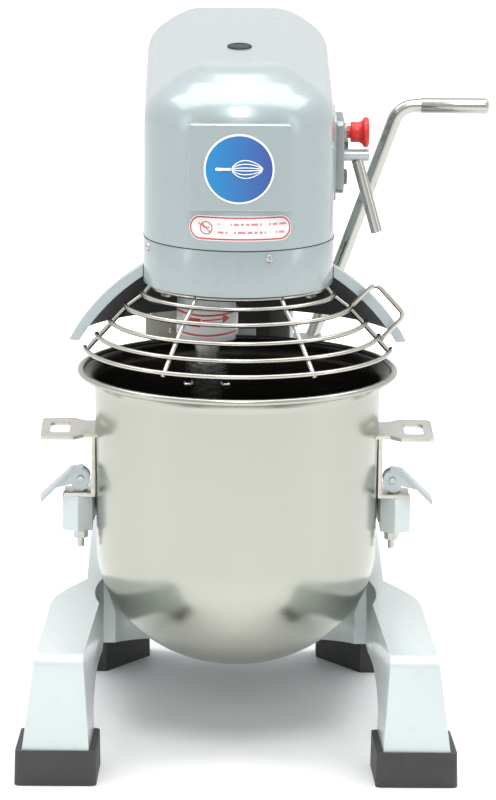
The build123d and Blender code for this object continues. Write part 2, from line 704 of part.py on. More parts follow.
# ---------------------------------------------------------------- bowl clamps
with BuildPart() as clamp_eye_bolts:
    for side, _ in SIDES:
        with BuildSketch(Plane.XY.offset(207)):
            with Locations((side * CLAMP_X, 0)):
                Circle(4.0)
        extrude(amount=73)
        with BuildSketch(Plane.XZ):
            with Locations((side * CLAMP_X, CLAMP_Z)):
                Circle(7.5)
        extrude(amount=5, both=True)
    with BuildSketch(Plane.XZ):
        with Locations([(side * CLAMP_X, CLAMP_Z) for side, _ in SIDES]):
            Circle(3.0)
    extrude(amount=6, both=True, mode=Mode.SUBTRACT)
save(clamp_eye_bolts, "clamp_eye_bolts")

with BuildPart() as clamp_nuts:
    for low, radius, height in ((YOKE_LOW - 10, 9.5, 2.0), (YOKE_LOW - 18, 8.0, 8.0)):
        with BuildSketch(Plane.XY.offset(low)):
            with Locations([(side * CLAMP_X, 0) for side, _ in SIDES]):
                if height < 5:
                    Circle(radius)
                else:
                    RegularPolygon(radius, 6)
        extrude(amount=height)
    add(clamp_eye_bolts.part, mode=Mode.SUBTRACT)
save(clamp_nuts, "clamp_nuts")

with BuildPart() as clamp_pins:
    with BuildSketch(Plane.XZ.offset(-13)):
        with Locations([(side * CLAMP_X, CLAMP_Z) for side, _ in SIDES]):
            Circle(3.0)
    extrude(amount=26)
save(clamp_pins, "clamp_pins")

for side, word in SIDES:
    with BuildPart() as clamp_lever:
        for cheek in (-10.5, 5.3):
            with BuildSketch(Plane.XZ.offset(cheek)):
                with Locations((side * CLAMP_X, CLAMP_Z)):
                    Circle(10.4)
                with Locations((side * (CLAMP_X + 1), CLAMP_Z - 5.4)):
                    Circle(9.2)
                Polygon(
                    (side * (CLAMP_X - 2), CLAMP_Z + 9), (side * (CLAMP_X + 9), CLAMP_Z + 6.5),
                    (side * (CLAMP_X + 28), CLAMP_Z - 11), (side * (CLAMP_X + 6), CLAMP_Z - 6), align=None,
                )
                with Locations((side * CLAMP_X, CLAMP_Z)):
                    Circle(3.0 + FIT, mode=Mode.SUBTRACT)
            extrude(amount=5.2)
        # stamped handle over both cheeks, sloping outwards and down
        with BuildSketch(Plane.XZ):
            Polygon(
                (side * (CLAMP_X - 3), CLAMP_Z + 8.8), (side * (CLAMP_X - 2), CLAMP_Z + 11.6),
                (side * (CLAMP_X + 11), CLAMP_Z + 9.5), (side * (CLAMP_X + 44), CLAMP_Z - 22.5),
                (side * (CLAMP_X + 43), CLAMP_Z - 26.5), (side * (CLAMP_X + 9.5), CLAMP_Z + 6.2), align=None,
            )
        extrude(amount=16, both=True)
        with BuildSketch(Plane.XY.offset(CLAMP_Z - 40)):
            Polygon(
                (side * (CLAMP_X - 20), -11.5), (side * (CLAMP_X + 12), -11.5), (side * (CLAMP_X + 24), -14),
                (side * (CLAMP_X + 60), -18), (side * (CLAMP_X + 60), 18), (side * (CLAMP_X + 24), 14),
                (side * (CLAMP_X + 12), 11.5), (side * (CLAMP_X - 20), 11.5), align=None,
            )
        extrude(amount=80, mode=Mode.INTERSECT)
    save(clamp_lever, f"clamp_lever_{word}")

# ---------------------------------------------------------------- splash guard and shield
GUARD_RING_R, GUARD_RING_Z = 94.0, 500.5
GUARD_ARC = 180.0 - 2 * GUARD_END
RIBS = (-180.0 + GUARD_END, -119.0, -61.0, -GUARD_END)


def radial_plane(degrees):
    """Upright plane through the bowl axis: x is the radius at that angle and y is height."""
    x, y = polar(1, degrees)
    return Plane(origin=(0, 0, 0), x_dir=(x, y, 0), z_dir=(y, -x, 0))


with BuildPart() as guard_cage:
    for radius, height in HOOPS:
        with BuildSketch(radial_plane(RIBS[0])):
            with Locations((radius, height)):
                Circle(WIRE_R)
        revolve(axis=Axis.Z, revolution_arc=GUARD_ARC)
    with BuildSketch(Plane.XZ):
        with Locations((GUARD_RING_R, GUARD_RING_Z)):
            Circle(WIRE_R)
    revolve(axis=Axis.Z)
    # ribs run under the hoops and are welded to them and to the ring
    rib_path = [(GUARD_RING_R, GUARD_RING_Z)]
    for radius, height in HOOPS:
        rib_path.append((radius - 2.4, height - 2.6))
    rib_path.append((HOOPS[-1][0] - 0.4, HOOPS[-1][1] - 5.0))
    for angle in RIBS:
        with BuildLine(radial_plane(angle)) as rib:
            FilletPolyline(*rib_path, radius=5)
        with BuildSketch(Plane(rib.line @ 0, z_dir=rib.line % 0)):
            Circle(WIRE_R)
        sweep(path=rib.line)
save(guard_cage, "guard_cage")

with BuildPart() as guard_handle:
    with BuildLine(radial_plane(RIBS[-1])) as loop:
        FilletPolyline(
            (HOOPS[1][0] - 2, HOOPS[1][1] - 2), (149, 504), (181, 469), (HOOPS[3][0] + 1, HOOPS[3][1] - 6),
            radius=8,
        )
    with BuildSketch(Plane(loop.line @ 0, z_dir=loop.line % 0)):
        Circle(WIRE_R)
    sweep(path=loop.line)
    add(guard_cage.part, mode=Mode.SUBTRACT)
save(guard_handle, "guard_handle")

with BuildPart() as guard_clips:
    for angle in (-150.0, -30.0, 90.0):
        with BuildSketch(radial_plane(angle)):
            with Locations((89.35, (494.5 + HEAD_BOTTOM) / 2)):
                Rectangle(3.7, HEAD_BOTTOM - 494.5)
            with Locations(((87.5 + 92.8) / 2, 495.75)):
                Rectangle(5.3, 2.5)
        extrude(amount=6, both=True)
save(guard_clips, "guard_clips")

FLANGE_DEGREES = 1.2          # the shield's two front edges are this thick flange, turned inwards
with BuildPart() as rear_shield:
    with BuildSketch(Plane.XZ):
        with BuildLine():
            ThreePointArc((103.2, 520), (146, 487), (183, 437))
            Line((183, 437), (172, 436))
            ThreePointArc((172, 436), (134.5, 483), (103.2, 508))
            Line((103.2, 508), (103.2, 520))
        make_face()
    revolve(axis=Axis.Z, revolution_arc=180)
    # between the flanges only the sheet is left
    with BuildSketch(radial_plane(FLANGE_DEGREES)):
        with BuildLine():
            ThreePointArc((181.4, 434), (144.5, 485.6), (101, 518.4))
            Polyline((101, 518.4), (90, 518.4), (90, 434), (181.4, 434))
        make_face()
    revolve(axis=Axis.Z, revolution_arc=180 - 2 * FLANGE_DEGREES, mode=Mode.SUBTRACT)
    with BuildSketch(Plane.XY.offset(HEAD_BOTTOM - 0.3)):
        head_plan(0)
    extrude(amount=40, mode=Mode.SUBTRACT)
save(rear_shield, "rear_shield")

with BuildPart() as interlock_box:
    with BuildSketch(Plane.XZ.offset(-187.7)):
        with Locations((-83.2, 418)):
            RectangleRounded(37.6, 35, 4)
    extrude(amount=-32)
    with BuildSketch(Plane((-92, 203, 400.5), z_dir=(0, 0, -1))):
        Circle(5)
    extrude(amount=9)
save(interlock_box, "interlock_box")

# ---------------------------------------------------------------- planetary drive
TOOTH_SHARE = 0.8             # tooth height above the pitch circle, in modules
ROOT_SHARE = 1.25
BACKLASH = 0.35
planet_pitch = PLANET_TEETH * PLANET_MODULE / 2
ring_pitch = RING_TEETH * PLANET_MODULE / 2
with BuildPart() as ring_gear:
    with BuildSketch(Plane.XY.offset(519)):
        Circle(60)
    extrude(amount=26)
    with BuildSketch(Plane.XY.offset(519)):
        gear_face(
            RING_TEETH, PLANET_MODULE, 180, ring_pitch + ROOT_SHARE * PLANET_MODULE,
            ring_pitch - TOOTH_SHARE * PLANET_MODULE, BACKLASH,
        )
    extrude(amount=26, mode=Mode.SUBTRACT)
save(ring_gear, "ring_gear")

with BuildPart() as gearbox_plate:
    with BuildSketch(Plane.XY.offset(545)):
        head_plan(6)
        with Locations((0, 240)):
            Rectangle(240, 180, mode=Mode.SUBTRACT)
        Circle(MAIN_R + FIT, mode=Mode.SUBTRACT)
        with Locations((0, COUNTER_Y)):
            Circle(COUNTER_R + FIT, mode=Mode.SUBTRACT)
        with Locations((58, CONTROL_Y + 20)):
            Circle(4 + FIT, mode=Mode.SUBTRACT)
    extrude(amount=8)
save(gearbox_plate, "gearbox_plate")

with BuildPart() as upper_plate:
    with BuildSketch(Plane.XY.offset(UPPER_PLATE_Z)):
        with Locations((0, 127)):
            RectangleRounded(156, 334, 14)
        Circle(MAIN_R + FIT, mode=Mode.SUBTRACT)
        with Locations((0, COUNTER_Y)):
            Circle(COUNTER_R + FIT, mode=Mode.SUBTRACT)
        with Locations((58, CONTROL_Y + 20)):
            Circle(4 + FIT, mode=Mode.SUBTRACT)
        with Locations((0, MOTOR_Y)):
            Circle(8 + FIT, mode=Mode.SUBTRACT)
    extrude(amount=6)
save(upper_plate, "upper_plate")

with BuildPart() as plate_posts:
    with Locations([(x, y, 553) for x in (-68, 68) for y in (-20, 122)]):
        Cylinder(7, UPPER_PLATE_Z - 553, align=(Align.CENTER, Align.CENTER, Align.MIN))
save(plate_posts, "plate_posts")

BEARING_R = 19.0
with BuildPart() as planet_carrier:
    with BuildSketch(Plane.XY.offset(499)):
        Circle(84)
    extrude(amount=14)
    with BuildSketch(Plane.XY.offset(440)):
        with Locations((PLANET_X, 0)):
            Circle(33)
    extrude(amount=60)
    fillet(planet_carrier.edges().group_by(Axis.Z)[0], 2.5)
    with BuildSketch(Plane.XY.offset(444)):
        with Locations((PLANET_X, 0)):
            Circle(BEARING_R)
    extrude(amount=65, mode=Mode.SUBTRACT)
    with BuildSketch(Plane.XY.offset(440)):
        with Locations((PLANET_X, 0)):
            Circle(14.5)
        Circle(MAIN_R)
    extrude(amount=80, mode=Mode.SUBTRACT)
save(planet_carrier, "planet_carrier")

with BuildPart() as drum_label:
    with BuildSketch(Plane.XY.offset(446.5)):
        with Locations((PLANET_X, 0)):
            Circle(33.5)
            Circle(33.02, mode=Mode.SUBTRACT)
    extrude(amount=29)
save(drum_label, "drum_label")

with BuildPart() as agitator_bearings:
    for low in (445.0, 494.0):
        with BuildSketch(Plane.XY.offset(low)):
            with Locations((PLANET_X, 0)):
                Circle(BEARING_R)
                Circle(AGITATOR_R + FIT, mode=Mode.SUBTRACT)
        extrude(amount=14)
save(agitator_bearings, "agitator_bearings")

# lower end, upper end and radius of each step: bearing seat, neck, splash collar, hub, free nose
SHAFT_STEPS = ((440, 540, AGITATOR_R), (414, 444, 13.5), (401, 416, 24), (379, 402, 17.5), (350, 380, 16))
with BuildPart() as agitator_shaft:
    for low, high, radius in SHAFT_STEPS:
        with BuildSketch(Plane.XY.offset(low)):
            with Locations((PLANET_X, 0)):
                Circle(radius)
        extrude(amount=high - low)
    chamfer(agitator_shaft.edges().group_by(Axis.Z)[0], 1.5)
    with BuildSketch(Plane.YZ.offset(PLANET_X)):
        with Locations((0, 388)):
            Circle(4)
    extrude(amount=30, both=True, mode=Mode.SUBTRACT)
save(agitator_shaft, "agitator_shaft")

with BuildPart() as cross_pin:
    with BuildSketch(Plane.YZ.offset(PLANET_X - 25)):
        with Locations((0, 388)):
            Circle(4)
    extrude(amount=50)
    chamfer(cross_pin.edges().filter_by(GeomType.CIRCLE), 0.8)
save(cross_pin, "cross_pin")

with BuildPart() as planet_pinion:
    with BuildSketch(Plane.XY.offset(521)):
        with Locations((PLANET_X, 0)):
            gear_face(
                PLANET_TEETH, PLANET_MODULE, 180, planet_pitch + TOOTH_SHARE * PLANET_MODULE,
                planet_pitch - ROOT_SHARE * PLANET_MODULE, -BACKLASH,
            )
            Circle(AGITATOR_R, mode=Mode.SUBTRACT)
    extrude(amount=17)
save(planet_pinion, "planet_pinion")

with BuildPart() as main_shaft:
    with BuildSketch(Plane.XY.offset(499)):
        Circle(MAIN_R)
    extrude(amount=167)
save(main_shaft, "main_shaft")

# gears on the main shaft; the middle pair is the one engaged, the other two run free
for word, main_teeth, _, low in GEAR_PAIRS:
    main_pitch = main_teeth * GEAR_MODULE / 2
    bore = MAIN_R if word == "mid" else MAIN_R + FIT
    with BuildPart() as main_gear:
        with BuildSketch(Plane.XY.offset(low)):
            gear_face(
                main_teeth, GEAR_MODULE, 90, main_pitch + TOOTH_SHARE * GEAR_MODULE,
                main_pitch - ROOT_SHARE * GEAR_MODULE, -BACKLASH,
            )
            Circle(bore, mode=Mode.SUBTRACT)
        extrude(amount=GEAR_WIDTH)
    save(main_gear, f"{word}_speed_gear")

with BuildPart() as countershaft:
    with BuildSketch(Plane.XY.offset(545)):
        with Locations((0, COUNTER_Y)):
            Circle(COUNTER_R)
    extrude(amount=156)
    for _, _, counter_teeth, low in GEAR_PAIRS:
        counter_pitch = counter_teeth * GEAR_MODULE / 2
        with BuildSketch(Plane.XY.offset(low + 0.5)):
            with Locations((0, COUNTER_Y)):
                gear_face(
                    counter_teeth, GEAR_MODULE, 180 / counter_teeth - 90,
                    counter_pitch + TOOTH_SHARE * GEAR_MODULE, counter_pitch - ROOT_SHARE * GEAR_MODULE,
                    -BACKLASH,
                )
        extrude(amount=GEAR_WIDTH - 1)
save(countershaft, "countershaft")

# ---------------------------------------------------------------- motor and belt
BELT_WIDTH, BELT_DEEP = 9.0, 8.0


def pulley(radius, y, bore):
    """Flanged pulley with a belt groove, round an upright axis at (0, y)."""
    with BuildPart() as wheel:
        with BuildSketch(Plane.XY.offset(PULLEY_Z - 10)):
            with Locations((0, y)):
                Circle(radius + 3)
                Circle(bore, mode=Mode.SUBTRACT)
        extrude(amount=20)
        with BuildSketch(Plane.XY.offset(PULLEY_Z - BELT_WIDTH / 2 - 0.5)):
            with Locations((0, y)):
                Circle(radius + 4)
                Circle(radius - BELT_DEEP - 0.5, mode=Mode.SUBTRACT)
        extrude(amount=BELT_WIDTH + 1, mode=Mode.SUBTRACT)
    return wheel.part


with BuildPart() as counter_pulley:
    add(pulley(COUNTER_PULLEY_R, COUNTER_Y, COUNTER_R))
save(counter_pulley, "counter_pulley")

with BuildPart() as motor_pulley:
    add(pulley(MOTOR_PULLEY_R, MOTOR_Y, 8.0))
save(motor_pulley, "motor_pulley")

with BuildPart() as motor_shaft:
    with BuildSketch(Plane.XY.offset(620)):
        with Locations((0, MOTOR_Y)):
            Circle(8.0)
    extrude(amount=82)
save(motor_shaft, "motor_shaft")

with BuildPart() as drive_belt:
    for shrink, mode in ((0.0, Mode.ADD), (BELT_DEEP, Mode.SUBTRACT)):
        with BuildSketch(Plane.XY.offset(PULLEY_Z - BELT_WIDTH / 2)):
            with Locations((0, COUNTER_Y)):
                Circle(COUNTER_PULLEY_R - shrink)
            with Locations((0, MOTOR_Y)):
                Circle(MOTOR_PULLEY_R - shrink)
            make_hull()
        extrude(amount=BELT_WIDTH, mode=mode)
save(drive_belt, "drive_belt")

with BuildPart() as motor_housing:
    with BuildSketch(Plane.XY.offset(470)):
        with Locations((0, MOTOR_Y)):
            Circle(MOTOR_R)
    extrude(amount=UPPER_PLATE_Z - 470)
    fillet(motor_housing.edges().group_by(Axis.Z)[0], 8)
    with BuildSketch(Plane.XY.offset(612)):
        with Locations((0, MOTOR_Y)):
            Circle(8.0 + FIT)
    extrude(amount=60, mode=Mode.SUBTRACT)
save(motor_housing, "motor_housing")
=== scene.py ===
import bmesh
import bpy
import json
import math
from mathutils import Matrix, Vector

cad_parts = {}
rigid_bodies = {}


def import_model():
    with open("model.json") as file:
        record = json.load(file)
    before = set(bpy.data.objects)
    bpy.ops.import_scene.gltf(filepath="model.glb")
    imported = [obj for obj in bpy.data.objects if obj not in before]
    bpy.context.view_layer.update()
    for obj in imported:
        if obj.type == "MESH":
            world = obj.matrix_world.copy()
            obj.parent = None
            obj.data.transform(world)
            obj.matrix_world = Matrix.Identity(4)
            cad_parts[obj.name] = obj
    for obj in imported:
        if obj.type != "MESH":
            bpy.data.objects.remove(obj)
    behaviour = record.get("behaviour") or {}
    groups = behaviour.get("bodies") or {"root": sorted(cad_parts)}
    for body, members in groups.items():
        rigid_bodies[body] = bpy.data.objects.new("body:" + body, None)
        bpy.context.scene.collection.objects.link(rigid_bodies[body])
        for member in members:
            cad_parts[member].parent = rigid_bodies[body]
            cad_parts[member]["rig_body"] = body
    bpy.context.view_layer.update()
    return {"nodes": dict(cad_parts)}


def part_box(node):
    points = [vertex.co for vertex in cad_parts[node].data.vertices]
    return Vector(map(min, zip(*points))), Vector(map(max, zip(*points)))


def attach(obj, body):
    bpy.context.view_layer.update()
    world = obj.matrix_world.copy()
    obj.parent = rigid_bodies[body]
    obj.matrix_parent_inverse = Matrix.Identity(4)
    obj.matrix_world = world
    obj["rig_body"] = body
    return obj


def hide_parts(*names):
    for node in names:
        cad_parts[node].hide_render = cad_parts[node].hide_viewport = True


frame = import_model()
MM = 0.001
SCENE = bpy.context.scene

# ------------------------------------------------------------------ camera
CAMERA_AT = Vector((-0.04521, -4.99305, 1.45801))
YAW, PITCH, ROLL = 0.0114, 0.2143, 0.0088
forward = Vector((math.sin(YAW) * math.cos(PITCH), math.cos(YAW) * math.cos(PITCH), -math.sin(PITCH)))
level = Vector((math.cos(YAW), -math.sin(YAW), 0.0))
upright = level.cross(forward)
right = math.cos(ROLL) * level + math.sin(ROLL) * upright
up = math.cos(ROLL) * upright - math.sin(ROLL) * level
camera = bpy.data.objects.new("camera", bpy.data.cameras.new("camera"))
camera.data.lens = 211.3
camera.data.sensor_width = 36.0
camera.data.clip_end = 100.0
camera.matrix_world = Matrix((
    (right.x, up.x, -forward.x, CAMERA_AT.x),
    (right.y, up.y, -forward.y, CAMERA_AT.y),
    (right.z, up.z, -forward.z, CAMERA_AT.z),
    (0, 0, 0, 1),
))
SCENE.collection.objects.link(camera)
SCENE.camera = camera
SCENE.view_settings.view_transform = "Standard"
SCENE.view_settings.look = "None"

# ------------------------------------------------------------------ studio
world = bpy.data.worlds.new("studio")
SCENE.world = world
world.use_nodes = True
tree = world.node_tree
background = tree.nodes["Background"]
background.inputs["Strength"].default_value = 0.95
direction = tree.nodes.new("ShaderNodeTexCoord")
split = tree.nodes.new("ShaderNodeSeparateXYZ")
tree.links.new(direction.outputs["Generated"], split.inputs[0])
# the side the operator stands on is the dim side of the room
front = tree.nodes.new("ShaderNodeMapRange")
front.inputs["From Min"].default_value = -1.0
front.inputs["From Max"].default_value = -0.55
tree.links.new(split.outputs["Y"], front.inputs["Value"])
room = tree.nodes.new("ShaderNodeMix")
room.data_type = "RGBA"
room.inputs[6].default_value = (0.72, 0.74, 0.74, 1)
room.inputs[7].default_value = (0.98, 0.99, 1.0, 1)
tree.links.new(front.outputs["Result"], room.inputs[0])
tree.links.new(room.outputs[2], background.inputs["Color"])


def softbox(name, at, aim, width, height, power, colour=(1, 1, 1)):
    """A rectangular area light at a point, turned to face another."""
    light = bpy.data.lights.new(name, "AREA")
    light.shape = "RECTANGLE"
    light.size, light.size_y = width, height
    light.energy = power
    light.color = colour
    lamp = bpy.data.objects.new(name, light)
    lamp.location = at
    lamp.rotation_euler = (Vector(aim) - Vector(at)).to_track_quat("-Z", "Y").to_euler()
    SCENE.collection.objects.link(lamp)


softbox("top_left", (-1.2, 0.3, 3.1), (-0.1, 0, 0.5), 1.9, 3.0, 44)
softbox("top_right", (1.2, 0.3, 3.1), (0.1, 0, 0.5), 1.9, 3.0, 44)
softbox("key", (0, -1.75, 2.7), (0, 0, 0.7), 0.8, 1.2, 30)
softbox("side_left", (-2.6, -1.0, 1.1), (0, 0, 0.4), 0.5, 1.6, 4)
softbox("side_right", (2.6, -1.0, 1.1), (0, 0, 0.4), 0.5, 1.6, 4)


# ------------------------------------------------------------------ materials
def surface(name, colour, rough, metal=0.0, tint=0.06, tint_scale=7.0, grain=900.0, bump=0.03,
            stretch=(1, 1, 1), rough_span=0.06, coat=0.0, coat_rough=0.06, aniso=0.0, marks=0.0):
    """A procedural finish: cloudy colour, fine grain in roughness and bump, and faint marks."""
    m = bpy.data.materials.new(name)
    m.use_nodes = True
    nodes, links = m.node_tree.nodes, m.node_tree.links
    shader = nodes["Principled BSDF"]
    shader.inputs["Metallic"].default_value = metal
    shader.inputs["Coat Weight"].default_value = coat
    shader.inputs["Coat Roughness"].default_value = coat_rough
    shader.inputs["Anisotropic"].default_value = aniso
    place = nodes.new("ShaderNodeTexCoord")
    cloud = nodes.new("ShaderNodeTexNoise")
    cloud.inputs["Scale"].default_value = tint_scale
    cloud.inputs["Detail"].default_value = 5.0
    links.new(place.outputs["Object"], cloud.inputs["Vector"])
    blend = nodes.new("ShaderNodeMix")
    blend.data_type = "RGBA"
    blend.inputs[6].default_value = (*[c * (1 - tint) for c in colour], 1)
    blend.inputs[7].default_value = (*[min(1.0, c * (1 + tint)) for c in colour], 1)
    links.new(cloud.outputs["Fac"], blend.inputs[0])
    stretched = nodes.new("ShaderNodeMapping")
    stretched.inputs["Scale"].default_value = stretch
    links.new(place.outputs["Object"], stretched.inputs["Vector"])
    fine = nodes.new("ShaderNodeTexNoise")
    fine.inputs["Scale"].default_value = grain
    fine.inputs["Detail"].default_value = 3.0
    links.new(stretched.outputs["Vector"], fine.inputs["Vector"])
    span = nodes.new("ShaderNodeMapRange")
    span.inputs["From Min"].default_value = 0.3
    span.inputs["From Max"].default_value = 0.7
    span.inputs["To Min"].default_value = max(0.02, rough - rough_span)
    span.inputs["To Max"].default_value = min(1.0, rough + rough_span)
    links.new(fine.outputs["Fac"], span.inputs["Value"])
    links.new(span.outputs["Result"], shader.inputs["Roughness"])
    relief = nodes.new("ShaderNodeBump")
    relief.inputs["Strength"].default_value = bump
    relief.inputs["Distance"].default_value = 0.0006
    links.new(fine.outputs["Fac"], relief.inputs["Height"])
    links.new(relief.outputs["Normal"], shader.inputs["Normal"])
    colour_out = blend.outputs[2]
    if marks:
        # sparse darker specks and smudges, as on handled metal
        specks = nodes.new("ShaderNodeTexNoise")
        specks.inputs["Scale"].default_value = 55.0
        specks.inputs["Detail"].default_value = 6.0
        links.new(place.outputs["Object"], specks.inputs["Vector"])
        sparse = nodes.new("ShaderNodeMapRange")
        sparse.inputs["From Min"].default_value = 0.58
        sparse.inputs["From Max"].default_value = 0.75
        sparse.inputs["To Max"].default_value = marks
        links.new(specks.outputs["Fac"], sparse.inputs["Value"])
        worn = nodes.new("ShaderNodeMix")
        worn.data_type = "RGBA"
        worn.inputs[7].default_value = (*[c * 0.55 for c in colour], 1)
        links.new(sparse.outputs["Result"], worn.inputs[0])
        links.new(colour_out, worn.inputs[6])
        colour_out = worn.outputs[2]
    links.new(colour_out, shader.inputs["Base Color"])
    return m


PAINT = surface("silver_enamel", (0.335, 0.39, 0.397), 0.34, metal=0.35, tint=0.05, grain=260, bump=0.05,
                rough_span=0.04, coat=0.85, coat_rough=0.09, marks=0.15)
CAST = surface("cast_enamel", (0.57, 0.625, 0.625), 0.38, metal=0.2, tint=0.06, grain=170, bump=0.16,
               rough_span=0.06, coat=0.6, coat_rough=0.14, marks=0.15)
SHEET = surface("sheet_enamel", (0.46, 0.515, 0.53), 0.36, metal=0.3, tint=0.06, grain=300, bump=0.06,
                rough_span=0.05, coat=0.5, coat_rough=0.12, marks=0.2)
# painted shade: near black for the slideway in the shade under the bowl and head
CAST_PAINTED_SHADE = surface("slideway_painted_shade", (0.10, 0.105, 0.1), 0.45, metal=0.4, tint=0.12, grain=200, bump=0.12)
# painted shade: the shield's inner side, the same sheet coloured near black
SHEET_PAINTED_SHADE = surface("sheet_inner_painted_shade", (0.085, 0.09, 0.088), 0.5, metal=0.2, tint=0.12, grain=300, bump=0.06)
STEEL = surface("bowl_steel", (0.43, 0.435, 0.385), 0.24, metal=1.0, tint=0.03, grain=60, bump=0.04,
                stretch=(0.25, 0.25, 26.0), rough_span=0.03, aniso=0.2)
# painted shade: the bowl's inside is the same steel coloured almost black, for the shade and dark reflections
# inside the bowl
STEEL_PAINTED_SHADE = surface("bowl_inner_painted_shade", (0.06, 0.056, 0.044), 0.3, metal=0.85, tint=0.08, grain=60,
                     bump=0.06, stretch=(0.25, 0.25, 26.0), rough_span=0.05)
BRACKET = surface("bracket_steel", (0.58, 0.56, 0.50), 0.34, metal=0.9, tint=0.08, grain=120, bump=0.08,
                  stretch=(1, 8, 1), rough_span=0.08, marks=0.35)
CHROME = surface("bright_plate", (0.48, 0.475, 0.44), 0.16, metal=1.0, tint=0.05, grain=240, bump=0.05,
                 rough_span=0.05, marks=0.3)
WIRE = surface("guard_wire", (0.52, 0.49, 0.44), 0.2, metal=1.0, tint=0.08, grain=300, bump=0.06,
               rough_span=0.06, marks=0.3)
ZINC = surface("zinc_plate", (0.52, 0.52, 0.49), 0.32, metal=1.0, tint=0.12, tint_scale=60, grain=500,
               bump=0.08, rough_span=0.1, marks=0.4)
GROUND = surface("ground_steel", (0.5, 0.5, 0.48), 0.26, metal=1.0, tint=0.04, grain=60, bump=0.02,
                 stretch=(1, 1, 8), rough_span=0.04)
RUBBER = surface("black_rubber", (0.040, 0.040, 0.038), 0.62, tint=0.25, tint_scale=24, grain=420, bump=0.25,
                 rough_span=0.1, marks=0.4)
IRON = surface("oiled_iron", (0.22, 0.22, 0.21), 0.38, metal=0.8, tint=0.15, grain=300, bump=0.15, coat=0.2)
PLATE = surface("satin_plate", (0.30, 0.315, 0.305), 0.36, metal=0.75, tint=0.06, grain=160, bump=0.06,
                stretch=(1, 1, 12), rough_span=0.06)
ALLOY = surface("die_cast_alloy", (0.5, 0.52, 0.53), 0.42, metal=0.8, tint=0.06, grain=260, bump=0.15)
BOX = surface("box_plastic", (0.33, 0.32, 0.27), 0.5, tint=0.05, grain=320, bump=0.12)
BLACK = surface("black_plastic", (0.008, 0.008, 0.008), 0.45, tint=0.2, grain=400, bump=0.1)
RED = surface("red_plastic", (0.58, 0.018, 0.012), 0.38, tint=0.08, tint_scale=30, grain=500, bump=0.04,
              coat=0.15)
GREEN = surface("grey_green_plastic", (0.16, 0.24, 0.23), 0.34, tint=0.06, grain=500, bump=0.04, coat=0.2)
GREY = surface("grey_plastic", (0.2, 0.21, 0.2), 0.42, tint=0.06, grain=500, bump=0.08)
VINYL = surface("label_white", (0.74, 0.74, 0.73), 0.3, tint=0.03, grain=300, bump=0.02, coat=0.4)
INK_RED = surface("label_red", (0.55, 0.02, 0.02), 0.3, tint=0.05, grain=300, bump=0.02, coat=0.4)
INK_PALE = surface("badge_white", (0.85, 0.87, 0.9), 0.25, tint=0.02, grain=300, bump=0.02, coat=0.5)
GAP_DARK = surface("seam_shadow", (0.02, 0.02, 0.02), 0.7, tint=0.2, grain=200, bump=0.1)

BADGE = surface("badge_blue", (0.02, 0.1, 0.6), 0.4, tint=0.02, grain=300, bump=0.0,
                rough_span=0.01, coat=0.1)
nodes, links = BADGE.node_tree.nodes, BADGE.node_tree.links
place = nodes.new("ShaderNodeTexCoord")
across = nodes.new("ShaderNodeSeparateXYZ")
links.new(place.outputs["Object"], across.inputs[0])
sweep_range = nodes.new("ShaderNodeMapRange")
badge_low, badge_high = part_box("badge_disc")
sweep_range.inputs["From Min"].default_value = badge_low.x
sweep_range.inputs["From Max"].default_value = badge_high.x
links.new(across.outputs["X"], sweep_range.inputs["Value"])
fade = nodes.new("ShaderNodeMix")
fade.data_type = "RGBA"
fade.inputs[6].default_value = (0.0, 0.22, 0.50, 1)
fade.inputs[7].default_value = (0.035, 0.06, 0.28, 1)
links.new(sweep_range.outputs["Result"], fade.inputs[0])
links.new(fade.outputs[2], nodes["Principled BSDF"].inputs["Base Color"])

NODE_FINISH = {
    "base_casting": CAST, "column_casting": CAST, "head_casting": PAINT, "head_cover": PAINT,
    "column_back_cover": SHEET, "column_bolts": ZINC, "cable_gland": BLACK, "lifting_plug": BLACK,
    "badge_disc": BADGE, "warning_label": VINYL, "cross_head_screws": ZINC, "control_panel": PLATE,
    "guard_clips": ZINC, "rear_shield": SHEET, "interlock_box": BOX, "ring_gear": IRON,
    "gearbox_plate": IRON, "upper_plate": PLATE, "plate_posts": GROUND, "motor_housing": ALLOY,
    "drive_belt": RUBBER, "rubber_boots": RUBBER, "yoke_casting": CAST, "bowl_shell": STEEL,
    "bowl_bracket_left": BRACKET, "bowl_bracket_right": BRACKET, "clamp_eye_bolts": ZINC,
    "clamp_nuts": ZINC, "clamp_pins": ZINC, "clamp_lever_left": SHEET, "clamp_lever_right": SHEET,
    "lever_rod": CHROME, "lever_grip": CHROME, "lever_hub": ALLOY, "lift_shaft": GROUND,
    "crank_arm": IRON, "crank_roller": GROUND, "guard_cage": WIRE, "guard_handle": WIRE,
    "stop_button": RED, "start_button": GREEN, "timer_knob": GREY, "shift_hub": SHEET,
    "shift_rod": CHROME, "shift_rail": GROUND, "planet_carrier": SHEET, "drum_label": VINYL,
    "agitator_bearings": GROUND, "main_shaft": GROUND, "low_speed_gear": IRON, "mid_speed_gear": IRON,
    "high_speed_gear": IRON, "agitator_shaft": GROUND, "cross_pin": GROUND, "planet_pinion": IRON,
    "countershaft": IRON, "counter_pulley": IRON, "motor_pulley": IRON, "motor_shaft": GROUND,
}
for name, finish in NODE_FINISH.items():
    mesh = frame["nodes"][name].data
    mesh.materials.clear()
    mesh.materials.append(finish)


